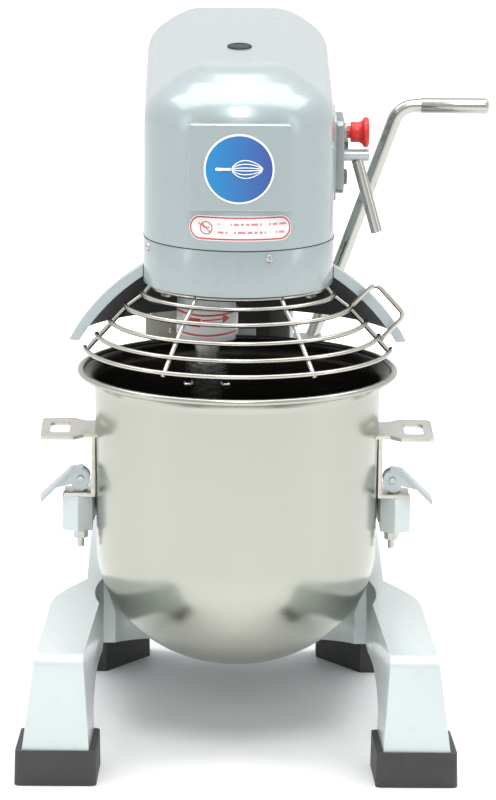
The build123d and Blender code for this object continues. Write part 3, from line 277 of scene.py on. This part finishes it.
# ------------------------------------------------------------------ mesh helpers
class Draft:
    """Points and faces of one piece, in millimetres, gathered before it becomes an object."""

    def __init__(self):
        self.points, self.faces, self.finish = [], [], []

    def add(self, points, faces, finish=0):
        start = len(self.points)
        self.points += [Vector(p) for p in points]
        self.faces += [tuple(start + i for i in face) for face in faces]
        self.finish += [finish] * len(faces)

    def lathe(self, profile, origin=(0, 0, 0), axis=(0, 0, 1), sides=96, finish=0, closed=False):
        """Turns (radius, height) points about an axis."""
        axis = Vector(axis).normalized()
        first = axis.orthogonal().normalized()
        if abs(axis.z) > 0.99:
            first = Vector((1, 0, 0))
        second = axis.cross(first)
        points, faces = [], []
        count = len(profile)
        for step in range(sides):
            angle = 2 * math.pi * step / sides
            out = math.cos(angle) * first + math.sin(angle) * second
            for radius, height in profile:
                points.append(Vector(origin) + radius * out + height * axis)
        runs = count if closed else count - 1
        for step in range(sides):
            after = (step + 1) % sides
            for i in range(runs):
                j = (i + 1) % count
                faces.append((step * count + i, after * count + i, after * count + j, step * count + j))
        self.add(points, faces, finish)

    def tube(self, path, radius, closed=False, sides=14, finish=0, radii=None):
        """Sweeps a circle along points; open ends get flat caps."""
        path = [Vector(p) for p in path]
        count = len(path)
        points, faces = [], []
        normal = None
        for i, here in enumerate(path):
            before = path[(i - 1) % count] if closed or i else here
            after = path[(i + 1) % count] if closed or i < count - 1 else here
            along = (after - before).normalized()
            if normal is None:
                normal = along.orthogonal().normalized()
            normal = (normal - normal.dot(along) * along).normalized()
            other = along.cross(normal)
            r = radii[i] if radii else radius
            for step in range(sides):
                angle = 2 * math.pi * step / sides
                points.append(here + r * (math.cos(angle) * normal + math.sin(angle) * other))
        runs = count if closed else count - 1
        # a closed path keeps the same start, so its last ring is matched to the first by the nearest point
        shift = 0
        if closed:
            last = points[(count - 1) * sides]
            shift = min(range(sides), key=lambda k: (points[k] - last).length)
        for i in range(runs):
            j = (i + 1) % count
            turn = shift if closed and i == count - 1 else 0
            for step in range(sides):
                a, b = i * sides + step, i * sides + (step + 1) % sides
                c, d = j * sides + (step + 1 + turn) % sides, j * sides + (step + turn) % sides
                faces.append((a, b, c, d))
        if not closed:
            faces.append(tuple(reversed(range(sides))))
            faces.append(tuple((count - 1) * sides + step for step in range(sides)))
        self.add(points, faces, finish)

    def wrap(self, outline, radius, centre, lift=0.0, finish=0):
        """Fills the (x, low, high) columns and lays them on the front of an upright cylinder."""
        points, faces = [], []
        for x, low, high in outline:
            turn = x / radius
            out = radius + lift
            for z in (low, high):
                points.append((centre[0] + out * math.sin(turn), centre[1] - out * math.cos(turn), z))
        for i in range(len(outline) - 1):
            faces.append((2 * i, 2 * i + 2, 2 * i + 3, 2 * i + 1))
        self.add(points, faces, finish)

    def ribbon(self, path, width, radius, centre, lift=0.0, finish=0, closed=True):
        """Lays a line of even width along (x, z) points on the front of an upright cylinder."""
        count = len(path)
        points, faces = [], []
        for i, (x, z) in enumerate(path):
            before = path[(i - 1) % count] if closed or i else path[i]
            after = path[(i + 1) % count] if closed or i < count - 1 else path[i]
            along = Vector((after[0] - before[0], after[1] - before[1])).normalized()
            side = Vector((-along.y, along.x)) * width / 2
            for sx, sz in ((x + side.x, z + side.y), (x - side.x, z - side.y)):
                turn = sx / radius
                out = radius + lift
                points.append((centre[0] + out * math.sin(turn), centre[1] - out * math.cos(turn), sz))
        for i in range(count if closed else count - 1):
            j = (i + 1) % count
            faces.append((2 * i, 2 * i + 1, 2 * j + 1, 2 * j))
        self.add(points, faces, finish)


def piece(name, draft, finishes, body, replaces=(), crease=35.0):
    """Makes the draft an object in the row frame, smooth but for edges sharper than `crease` degrees."""
    mesh = bpy.data.meshes.new(name)
    mesh.from_pydata([p * MM for p in draft.points], [], draft.faces)
    for finish in finishes:
        mesh.materials.append(finish)
    mesh.polygons.foreach_set("material_index", draft.finish)
    return settle(name, mesh, body, replaces, crease)


def settle(name, mesh, body, replaces=(), crease=35.0, weld=0.00001):
    """Cleans a mesh, marks its sharp edges, and puts it on its body."""
    work = bmesh.new()
    work.from_mesh(mesh)
    bmesh.ops.remove_doubles(work, verts=work.verts, dist=weld)
    bmesh.ops.recalc_face_normals(work, faces=work.faces)
    for face in work.faces:
        face.smooth = True
    for edge in work.edges:
        edge.smooth = len(edge.link_faces) == 2 and edge.calc_face_angle(0.0) < math.radians(crease)
    work.to_mesh(mesh)
    work.free()
    thing = bpy.data.objects.new(name, mesh)
    SCENE.collection.objects.link(thing)
    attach(thing, body)
    if replaces:
        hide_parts(*replaces)
    return thing


def rounded(path, radius, steps=8):
    """A polyline with its corners replaced by arcs."""
    path = [Vector(p) for p in path]
    out = [path[0]]
    for before, here, after in zip(path, path[1:], path[2:]):
        a, b = (before - here).normalized(), (after - here).normalized()
        angle = a.angle(b)
        if angle > math.radians(178):
            out.append(here)
            continue
        reach = min(radius / math.tan(angle / 2), (before - here).length * 0.49, (after - here).length * 0.49)
        start, end = here + a * reach, here + b * reach
        centre = here + (a + b).normalized() * (reach / math.cos(angle / 2))
        u, v = start - centre, end - centre
        sweep_angle = u.angle(v)
        for i in range(steps + 1):
            t = i / steps
            out.append(centre + (math.sin((1 - t) * sweep_angle) * u + math.sin(t * sweep_angle) * v)
                       / math.sin(sweep_angle))
    out.append(path[-1])
    return out


def arc(centre, radius, start, end, steps, squash=1.0):
    """(x, y) points on an arc, in degrees."""
    return [
        (centre[0] + radius * math.cos(math.radians(start + (end - start) * i / steps)),
         centre[1] + radius * squash * math.sin(math.radians(start + (end - start) * i / steps)))
        for i in range(steps + 1)
    ]


def softened(node, width, crease=30.0, segments=3, finishes=None, name=None):
    """Stands a copy of a CAD node in its place, with rounded edges like a casting's."""
    source = frame["nodes"][node]
    mesh = source.data.copy()
    mesh.name = name or node + "_body"
    work = bmesh.new()
    work.from_mesh(mesh)
    bmesh.ops.remove_doubles(work, verts=work.verts, dist=0.00002)
    bmesh.ops.dissolve_limit(
        work, angle_limit=math.radians(0.6), use_dissolve_boundaries=False,
        verts=work.verts, edges=work.edges,
    )
    work.to_mesh(mesh)
    work.free()
    mesh.materials.clear()
    for finish in finishes or [NODE_FINISH[node]]:
        mesh.materials.append(finish)
    thing = settle(name or node + "_body", mesh, source["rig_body"], (node,), crease=60.0)
    for edge in thing.data.edges:
        edge.use_edge_sharp = False
    bevel = thing.modifiers.new("rounded_edges", "BEVEL")
    bevel.width = width * MM
    bevel.segments = segments
    bevel.limit_method = "ANGLE"
    bevel.angle_limit = math.radians(crease)
    bevel.harden_normals = True
    bevel.miter_outer = "MITER_ARC"
    return thing


def arc3(first, middle, last, steps):
    """(x, y) points on the circle through three points."""
    ax, ay, bx, by, cx, cy = *first, *middle, *last
    d = 2 * (ax * (by - cy) + bx * (cy - ay) + cx * (ay - by))
    ux = ((ax**2 + ay**2) * (by - cy) + (bx**2 + by**2) * (cy - ay) + (cx**2 + cy**2) * (ay - by)) / d
    uy = ((ax**2 + ay**2) * (cx - bx) + (bx**2 + by**2) * (ax - cx) + (cx**2 + cy**2) * (bx - ax)) / d
    start, end = math.atan2(ay - uy, ax - ux), math.atan2(cy - uy, cx - ux)
    turn = (end - start + math.pi) % (2 * math.pi) - math.pi
    radius = math.hypot(ax - ux, ay - uy)
    angles = [start + turn * i / steps for i in range(steps + 1)]
    return [(ux + radius * math.cos(a), uy + radius * math.sin(a)) for a in angles]


# ------------------------------------------------------------------ bowl
DOME_TOP, DOME_R, DOME_DEPTH, BOWL_WALL = 210, 152.5, 130, 2


def dome(radius, depth, degrees):
    """Profile point of the bowl's rounded bottom; 0 degrees is the middle."""
    return radius * math.sin(math.radians(degrees)), DOME_TOP - depth * math.cos(math.radians(degrees))


bowl = Draft()
outside = [dome(DOME_R, DOME_DEPTH, a) for a in range(0, 91, 3)]
outside += [(155.0, 388.0)] + arc3((155.0, 388.0), (158.4, 397.4), (168.0, 402.4), 8)[1:]
roll = arc((170.4, 405.0), 3.6, -125, 165, 18)
inside = arc3((166.0, 404.6), (156.9, 399.0), (153.0, 388.5), 8)
inside += [(DOME_R - BOWL_WALL, DOME_TOP)]
inside += [dome(DOME_R - BOWL_WALL, DOME_DEPTH - BOWL_WALL, a) for a in range(87, -1, -3)]
bowl.lathe(outside + roll, sides=256, finish=0)
# the inner wall takes the painted shade steel
bowl.lathe([roll[-1]] + inside, sides=256, finish=1)
piece("bowl", bowl, [STEEL, STEEL_PAINTED_SHADE], "yoke", ("bowl_shell",))

# ------------------------------------------------------------------ guard
HOOPS = ((105.0, 492.0), (123.0, 478.5), (139.0, 461.5), (153.0, 446.0), (166.0, 431.5))
RIBS = (-176.0, -119.0, -61.0, -4.0)
WIRE_R = 2.5


def radial(radius, height, degrees):
    return (radius * math.cos(math.radians(degrees)), radius * math.sin(math.radians(degrees)), height)


guard = Draft()
for radius, height in HOOPS:
    guard.tube([radial(radius, height, -176 + 172 * i / 72) for i in range(73)], WIRE_R)
guard.tube([radial(94.0, 500.5, 5 * i) for i in range(72)], WIRE_R, closed=True)
rib_line = [(94.0, 500.5)] + [(r - 2.4, z - 2.6) for r, z in HOOPS] + [(165.6, 426.5)]
for degrees in RIBS:
    line = rounded([radial(r, z, degrees) for r, z in rib_line], 5, 4)
    guard.tube(line, WIRE_R)
    # weld beads where the rib meets each hoop
    for r, z in HOOPS:
        bead = [radial(r - 1.3, z - 1.4, degrees + d) for d in (-1.9, -1.2, -0.5, 0.0, 0.5, 1.2, 1.9)]
        guard.tube(bead, 3, radii=[0.8, 2.0, 2.6, 2.8, 2.6, 2.0, 0.8], sides=10)
piece("guard_wires", guard, [WIRE], "guard", ("guard_cage",), crease=50)

loop = Draft()
path = [radial(121, 476.5, -4), radial(149, 504, -4), radial(181, 469, -4), radial(154, 440, -4)]
loop.tube(rounded(path, 8, 8), WIRE_R, sides=16)
piece("guard_handle_wire", loop, [WIRE], "guard", ("guard_handle",), crease=50)

# ------------------------------------------------------------------ lift lever
LIFT_Y, LEVER_Z = 262.0, 656.0
lever = Draft()
line = rounded([(82.26, LIFT_Y, 375), (183, LIFT_Y, LEVER_Z), (279, LIFT_Y, LEVER_Z)], 26, 14)
lever.tube(line, 7.8, sides=32)
piece("lever_tube", lever, [CHROME], "lift_lever", ("lever_rod",), crease=40)
grip = Draft()
GRIP_R = 9.0
grip_end = [(GRIP_R - 4.6 * (1 - math.cos(math.radians(a))), 279.4 + 4.5 * math.sin(math.radians(a)))
            for a in range(0, 91, 10)]
grip.lathe(
    [(7.9, 207.2), (8.6, 207.2), (GRIP_R, 207.8), (GRIP_R, 279.2)] + grip_end + [(0.0, 284.0)],
    origin=(0, LIFT_Y, LEVER_Z), axis=(1, 0, 0), sides=40,
)
piece("lever_sleeve", grip, [CHROME], "lift_lever", ("lever_grip",), crease=40)

# ------------------------------------------------------------------ buttons and small controls
CONTROL_Y, STOP_Z, START_Z, KNOB_Z = 60.0, 657.0, 640.0, 605.0
stop = Draft()
stop.lathe(
    [(6.7, 84.0), (6.7, 121.4), (10.6, 121.5), (11.3, 122.3), (11.1, 129.0), (11.5, 131.6), (12.6, 133.6),
     (14.4, 134.9), (15.9, 135.6), (16.5, 136.6), (16.5, 138.6), (16.1, 140.2), (15.0, 141.3), (13.4, 141.7),
     (8.0, 142.0), (0.0, 142.0)],
    origin=(0, CONTROL_Y + 2, STOP_Z), axis=(1, 0, 0), sides=64,
)
piece("stop_mushroom", stop, [RED], "stop_button", ("stop_button",), crease=50)
start = Draft()
start.lathe(
    [(6.7, 84.0), (6.7, 118.6), (6.3, 119.5), (5.6, 120.0), (3.2, 119.7), (0.0, 119.5)],
    origin=(0, CONTROL_Y + 24, START_Z), axis=(1, 0, 0), sides=48,
)
piece("start_cap", start, [GREEN], "start_button", ("start_button",), crease=50)

knob_low, knob_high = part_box("timer_knob")
knob = Draft()
points, faces = [], []
ridges, rings = 24, [(8.9, 0.0), (8.7, 1.2), (8.5, 2.6), (8.2, 3.7), (7.4, 4.4), (4.0, 4.5), (0.01, 4.5)]
for radius, out in rings:
    for step in range(ridges * 4):
        angle = 2 * math.pi * step / (ridges * 4)
        dent = 0.45 if step % 4 in (0, 1) and radius > 7 else 0.0
        points.append((
            knob_low.x / MM + out,
            CONTROL_Y + 18 + (radius - dent) * math.cos(angle),
            KNOB_Z + (radius - dent) * math.sin(angle),
        ))
around = ridges * 4
for ring in range(len(rings) - 1):
    for step in range(around):
        after = (step + 1) % around
        faces.append((ring * around + step, ring * around + after, (ring + 1) * around + after,
                      (ring + 1) * around + step))
knob.add(points, faces)
# the pointer line on its face
pointer = [(knob_high.x / MM + 0.05, CONTROL_Y + 18, KNOB_Z + z) for z in (1.0, 2.5, 4.0, 5.5)]
knob.tube(pointer, 0.55, sides=8, finish=1)
piece("timer_dial", knob, [GREY, INK_PALE], "timer_knob", ("timer_knob",), crease=40)


# ------------------------------------------------------------------ screws
def screw(draft, at, out, radius, height):
    """A cross-recessed pan head."""
    out = Vector(out).normalized()
    first = out.cross(Vector((0, 0, 1))).normalized()
    second = out.cross(first)
    rings, sides = 14, 48
    points, faces = [], []
    for ring in range(rings + 1):
        share = ring / rings
        for step in range(sides):
            angle = 2 * math.pi * step / sides
            x, y = share * math.cos(angle), share * math.sin(angle)
            rise = height * math.sqrt(max(0.0, 1 - share**2.6))
            arm = min(max(abs(x) / 0.66, abs(y) / 0.17), max(abs(y) / 0.66, abs(x) / 0.17))
            if arm < 1:
                rise -= height * 0.62 * min(1.0, (1 - arm) * 3)
            points.append(Vector(at) + radius * (x * first + y * second) + rise * out)
    for ring in range(rings):
        for step in range(sides):
            after = (step + 1) % sides
            faces.append((ring * sides + step, ring * sides + after, (ring + 1) * sides + after,
                          (ring + 1) * sides + step))
    draft.add(points, faces)


screws = Draft()
for degrees in (-72.0, -162.0):
    out = radial(1, 0, degrees)
    screw(screws, radial(102.4, 546, degrees), out, 4.6, 2.5)
screw(screws, (102.4, 33, 546), (1, 0, 0), 4.6, 2.5)
screw(screws, (-94, 187.8, 428), (0, -1, 0), 3.2, 1.8)
screw(screws, (-73, 187.8, 410), (0, -1, 0), 3.2, 1.8)
piece("cross_recessed_screws", screws, [ZINC], "frame", ("cross_head_screws",), crease=70)

# ------------------------------------------------------------------ badge, label and markings
FACE_Y = badge_high.y / MM
badge_x = (badge_low.x + badge_high.x) / 2 / MM
badge_z = (badge_low.z + badge_high.z) / 2 / MM
badge = Draft()
badge_at = (badge_x, FACE_Y, badge_z)
badge.lathe([(0.0, 1.4), (20, 1.38), (35.4, 1.2)], origin=badge_at, axis=(0, -1, 0), sides=128)
badge.lathe([(35.4, 1.2), (35.5, 1.35), (36.8, 1.3), (37.4, 0.9), (37.5, 0.0)],
            origin=badge_at, axis=(0, -1, 0), sides=128, finish=1)
# a plain whisk: handle, collar and three loops
mark_y = FACE_Y - 1.55
badge.tube([(badge_x - 25 + i * 1.6, mark_y, badge_z) for i in range(11)], 1.5, sides=10, finish=1,
           radii=[1.3, 1.7, 1.8, 1.7, 1.6, 1.5, 1.45, 1.45, 1.5, 1.6, 1.3])
for wide in (9.5, 5.6, 1.6):
    upper = []
    for s in [i / 24 for i in range(25)]:
        bulge = math.sin(math.pi * min(1.0, s**0.85 * 0.98)) ** 0.75
        upper.append((badge_x - 8 + 33 * s, mark_y, badge_z + wide * bulge))
    lower = [(x, y, 2 * badge_z - z) for x, y, z in upper]
    badge.tube(upper + lower[::-1][1:], 0.55, sides=8, finish=1)
piece("badge", badge, [BADGE, INK_PALE], "frame", ("badge_disc",), crease=50)

label = Draft()
HEAD_R = 102.5
label_x, label_z, half_x, half_z = 1.0, 578.5, 57.0, 13.5


def pill(inset, steps=16):
    """Closed outline of the label, set in."""
    r = half_z - inset
    c = half_x - half_z
    return (
        [(label_x + c + r * math.sin(math.pi * i / steps), label_z + r * math.cos(math.pi * i / steps))
         for i in range(steps + 1)]
        + [(label_x + c - 2 * c * i / 24, label_z - r) for i in range(1, 24)]
        + [(label_x - c - r * math.sin(math.pi * i / steps), label_z - r * math.cos(math.pi * i / steps))
           for i in range(steps + 1)]
        + [(label_x - c + 2 * c * i / 24, label_z + r) for i in range(1, 24)]
    )


columns = []
for i in range(65):
    x = -half_x + 2 * half_x * i / 64
    c = half_x - half_z
    reach = math.sqrt(max(0.0, half_z**2 - max(0.0, abs(x) - c) ** 2))
    columns.append((label_x + x, label_z - reach, label_z + reach))
label.wrap(columns, HEAD_R, (0, 0), 0.25)
label.ribbon(pill(1.9), 1.6, HEAD_R, (0, 0), 0.34, finish=1)
# pictogram: a struck-out ring
ring_angles = [math.pi * i / 16 for i in range(32)]
ring = [(label_x - 37 + 6.6 * math.cos(a), label_z + 6.6 * math.sin(a)) for a in ring_angles]
label.ribbon(ring, 1.1, HEAD_R, (0, 0), 0.34, finish=1)
label.ribbon([(label_x - 41.3, label_z + 4.3), (label_x - 32.7, label_z - 4.3)], 1.1, HEAD_R, (0, 0), 0.36,
             finish=1, closed=False)
sign_mark = [(label_x - 46, label_z + 5.2), (label_x - 39, label_z + 0.6), (label_x - 33, label_z + 0.6)]
label.ribbon(sign_mark, 1.0, HEAD_R, (0, 0), 0.35, finish=1, closed=False)
# rows of plain bars
for row, lengths in ((4.6, (15, 5, 9, 7, 12, 5, 8)), (-4.2, (6, 11, 8, 5, 9, 14, 6))):
    x = label_x - 24
    for length in lengths:
        label.ribbon([(x, label_z + row), (x + length, label_z + row)], 2.3, HEAD_R, (0, 0), 0.34, finish=2,
                     closed=False)
        x += length + 2.2
INK_FAINT = surface("label_faded_red", (0.62, 0.2, 0.19), 0.35, tint=0.08, grain=300, bump=0.02, coat=0.3)
piece("safety_label", label, [VINYL, INK_RED, INK_FAINT], "frame", ("warning_label",), crease=60)

drum = Draft()
DRUM, DRUM_R = (-33.0, 0.0), 33.4
drum.lathe([(33.05, 446.5), (33.35, 446.6), (33.4, 447.0), (33.4, 475.0), (33.35, 475.4), (33.05, 475.5)],
           origin=(DRUM[0], DRUM[1], 0), sides=96)
for z, width in ((450.0, 2.2), (472.0, 2.2)):
    for start_x in (-46.0, 60.0):
        wave = [(start_x + 2.3 * i, z + 1.1 * math.cos(i / 38 * math.pi * 2)) for i in range(39)]
        drum.ribbon(wave, width, DRUM_R, DRUM, 0.06, finish=1, closed=False)
for shift in (0.0, 104.0):
    # an arrow that shows the turning sense: tail, line and head
    tail = [(shift - 27 + 1.5 * i, 463.5 - 0.05 * i) for i in range(14)]
    drum.ribbon(tail, 9.5, DRUM_R, DRUM, 0.07, finish=1, closed=False)
    line = [(shift - 6 + 1.5 * i, 465.5 + 0.1 * i) for i in range(19)]
    drum.ribbon(line, 1.6, DRUM_R, DRUM, 0.07, finish=1, closed=False)
    point = [(shift + 17, 461.5, 472.5), (shift + 21, 464.0, 470.5), (shift + 26, 467.0, 467.6)]
    drum.wrap(point, DRUM_R, DRUM, 0.1, finish=1)
piece("drum_band", drum, [VINYL, INK_RED], "carrier", ("drum_label",), crease=60)

# the dark line of the joint between the head and its cover
seam = Draft()
HEAD_BACK = 300.0
outline = arc((0, 0), HEAD_R, -180, 0, 60)
outline += [(HEAD_R, y) for y in range(20, 300, 20)] + [(HEAD_R, HEAD_BACK)]
outline += [(x, HEAD_BACK) for x in range(90, -91, -20)] + [(-HEAD_R, HEAD_BACK)]
outline += [(-HEAD_R, y) for y in range(280, 19, -20)]
seam.tube([(x * 0.9995, y * 0.9995, 554.15) for x, y in outline], 0.6, closed=True, sides=8)
piece("cover_seam", seam, [GAP_DARK], "frame", crease=60)

# ------------------------------------------------------------------ lifting plug
plug = Draft()
ROOF_SLOPE, NOSE_Z, PLUG_Y = 0.088, 742.5, 69
tilt = Vector((0, -ROOF_SLOPE, 1)).normalized()
plug_at = Vector((0, PLUG_Y, NOSE_Z + ROOF_SLOPE * PLUG_Y + 0.2))
plug.lathe(
    [(8.8, -9.5), (8.8, -0.1), (13.2, 0.0), (13.5, 0.5), (13.1, 1.3), (11.4, 1.9), (9.6, 2.05), (8.6, 1.6),
     (0.0, 1.45)],
    origin=plug_at, axis=tilt, sides=64,
)
piece("roof_plug", plug, [BLACK], "frame", ("lifting_plug",), crease=50)

# ------------------------------------------------------------------ castings and pressings with rounded edges
softened("base_casting", 6.0)
column = softened("column_casting", 2.5, finishes=[CAST, CAST_PAINTED_SHADE])
rail_face = min(v.co.y for v in column.data.vertices if v.co.z > 0.25)
for polygon in column.data.polygons:
    # painted shade: the slideway is bare, oiled metal, coloured near black for the shade of the bowl and head
    # over it
    if polygon.center.y < rail_face + 0.008 and polygon.center.z > 0.18 and polygon.normal.y < 0.5:
        polygon.material_index = 1
softened("yoke_casting", 2.5)
softened("rubber_boots", 2.0)
softened("head_casting", 1.2, finishes=[PAINT])
softened("control_panel", 0.8)
softened("interlock_box", 1.2)
softened("bowl_bracket_left", 0.7)
softened("bowl_bracket_right", 0.7)
softened("clamp_lever_left", 0.7)
softened("clamp_lever_right", 0.7)

# the splash shield, with painted shade on its inner side
source = frame["nodes"]["rear_shield"]
mesh = source.data.copy()
mesh.name = "shield_sheet"
mesh.materials.clear()
mesh.materials.append(SHEET)
mesh.materials.append(SHEET_PAINTED_SHADE)
# faces turned in towards the axis and down get the painted shade
for polygon in mesh.polygons:
    c, n = polygon.center, polygon.normal
    reach = math.hypot(c.x, c.y)
    outward = (n.x * c.x + n.y * c.y) / reach + n.z
    polygon.material_index = 1 if outward < -0.4 and abs(n.y) < 0.98 else 0
settle("shield_sheet", mesh, "frame", ("rear_shield",), crease=40)

# ------------------------------------------------------------------ floor
ground = bpy.data.meshes.new("floor")
work = bmesh.new()
bmesh.ops.create_grid(work, x_segments=12, y_segments=12, size=40)
work.to_mesh(ground)
work.free()
floor = bpy.data.objects.new("floor", ground)
SCENE.collection.objects.link(floor)
pale = surface("studio_floor", (0.93, 0.935, 0.935), 0.55, tint=0.008, tint_scale=0.8, grain=40, bump=0.0)
nodes, links = pale.node_tree.nodes, pale.node_tree.links
# painted light: away from the object the floor glows, seen by the camera only, so the backdrop reads white;
# near the object it does not glow
reach = nodes.new("ShaderNodeVectorMath")
reach.operation = "LENGTH"
place = nodes.new("ShaderNodeTexCoord")
links.new(place.outputs["Object"], reach.inputs[0])
glow = nodes.new("ShaderNodeMapRange")
glow.interpolation_type = "SMOOTHSTEP"
glow.inputs["From Min"].default_value = 0.35
glow.inputs["From Max"].default_value = 1.5
glow.inputs["To Max"].default_value = 0.6
links.new(reach.outputs["Value"], glow.inputs["Value"])
nodes["Principled BSDF"].inputs["Emission Color"].default_value = (1, 1, 1, 1)
seen = nodes.new("ShaderNodeLightPath")
camera_only_glow = nodes.new("ShaderNodeMath")
camera_only_glow.operation = "MULTIPLY"
links.new(glow.outputs["Result"], camera_only_glow.inputs[0])
links.new(seen.outputs["Is Camera Ray"], camera_only_glow.inputs[1])
links.new(camera_only_glow.outputs["Value"], nodes["Principled BSDF"].inputs["Emission Strength"])
ground.materials.append(pale)
